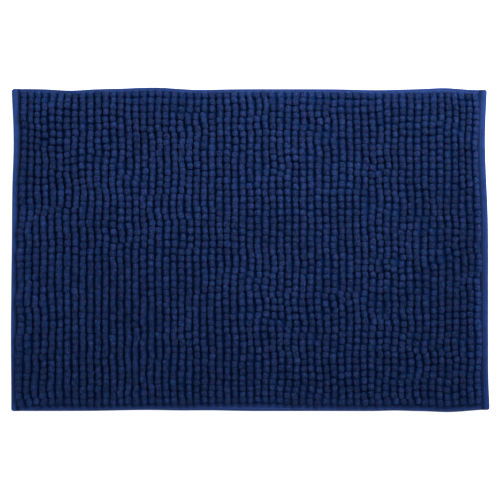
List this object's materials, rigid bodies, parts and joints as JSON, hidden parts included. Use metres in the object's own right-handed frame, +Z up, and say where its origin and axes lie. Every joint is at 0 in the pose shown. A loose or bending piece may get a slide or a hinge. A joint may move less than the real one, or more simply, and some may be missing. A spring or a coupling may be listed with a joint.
{
  "type": "bath mat",
  "caption": "Rectangular bath mat with rows of chenille bobble pile on a hemmed cloth, and a flat non-slip backing under it.",
  "frame": {"origin": "middle of the underside, on the face that rests on the floor", "axes": "+X along the mat's long side, across the rows of pile; +Y along its short side, along the rows; +Z up through the thickness, towards the pile"},
  "size_m": [0.6, 0.405, 0.0138],
  "materials": {
    "pile_yarn": "deep navy microfibre chenille, matt and velvety, a little lighter on the bobbles' tops",
    "ground_cloth": "navy plain-woven polyester cloth, matt",
    "hem_cloth": "brighter blue plain-woven cloth, smooth, with a faint sheen along the fold",
    "seam_thread": "blue polyester sewing thread in a lockstitch, slightly glossy",
    "non_slip_backing": "pale grey latex coat, soft and dull, with a fine raised grip texture"
  },
  "bodies": {
    "root": {"ground_cloth": "ground_cloth", "hem_back": "hem_cloth", "hem_front": "hem_cloth", "hem_left": "hem_cloth", "hem_right": "hem_cloth", "non_slip_backing": "non_slip_backing", "pile_row_61": "pile_yarn", "pile_rows_01_02": "pile_yarn", "pile_rows_03_04": "pile_yarn", "pile_rows_05_06": "pile_yarn", "pile_rows_07_08": "pile_yarn", "pile_rows_09_10": "pile_yarn", "pile_rows_11_12": "pile_yarn", "pile_rows_13_14": "pile_yarn", "pile_rows_15_16": "pile_yarn", "pile_rows_17_18": "pile_yarn", "pile_rows_19_20": "pile_yarn", "pile_rows_21_22": "pile_yarn", "pile_rows_23_24": "pile_yarn", "pile_rows_25_26": "pile_yarn", "pile_rows_27_28": "pile_yarn", "pile_rows_29_30": "pile_yarn", "pile_rows_31_32": "pile_yarn", "pile_rows_33_34": "pile_yarn", "pile_rows_35_36": "pile_yarn", "pile_rows_37_38": "pile_yarn", "pile_rows_39_40": "pile_yarn", "pile_rows_41_42": "pile_yarn", "pile_rows_43_44": "pile_yarn", "pile_rows_45_46": "pile_yarn", "pile_rows_47_48": "pile_yarn", "pile_rows_49_50": "pile_yarn", "pile_rows_51_52": "pile_yarn", "pile_rows_53_54": "pile_yarn", "pile_rows_55_56": "pile_yarn", "pile_rows_57_58": "pile_yarn", "pile_rows_59_60": "pile_yarn", "seam_thread_back": "seam_thread", "seam_thread_front": "seam_thread", "seam_thread_left": "seam_thread", "seam_thread_right": "seam_thread"}
  },
  "joints": []
}
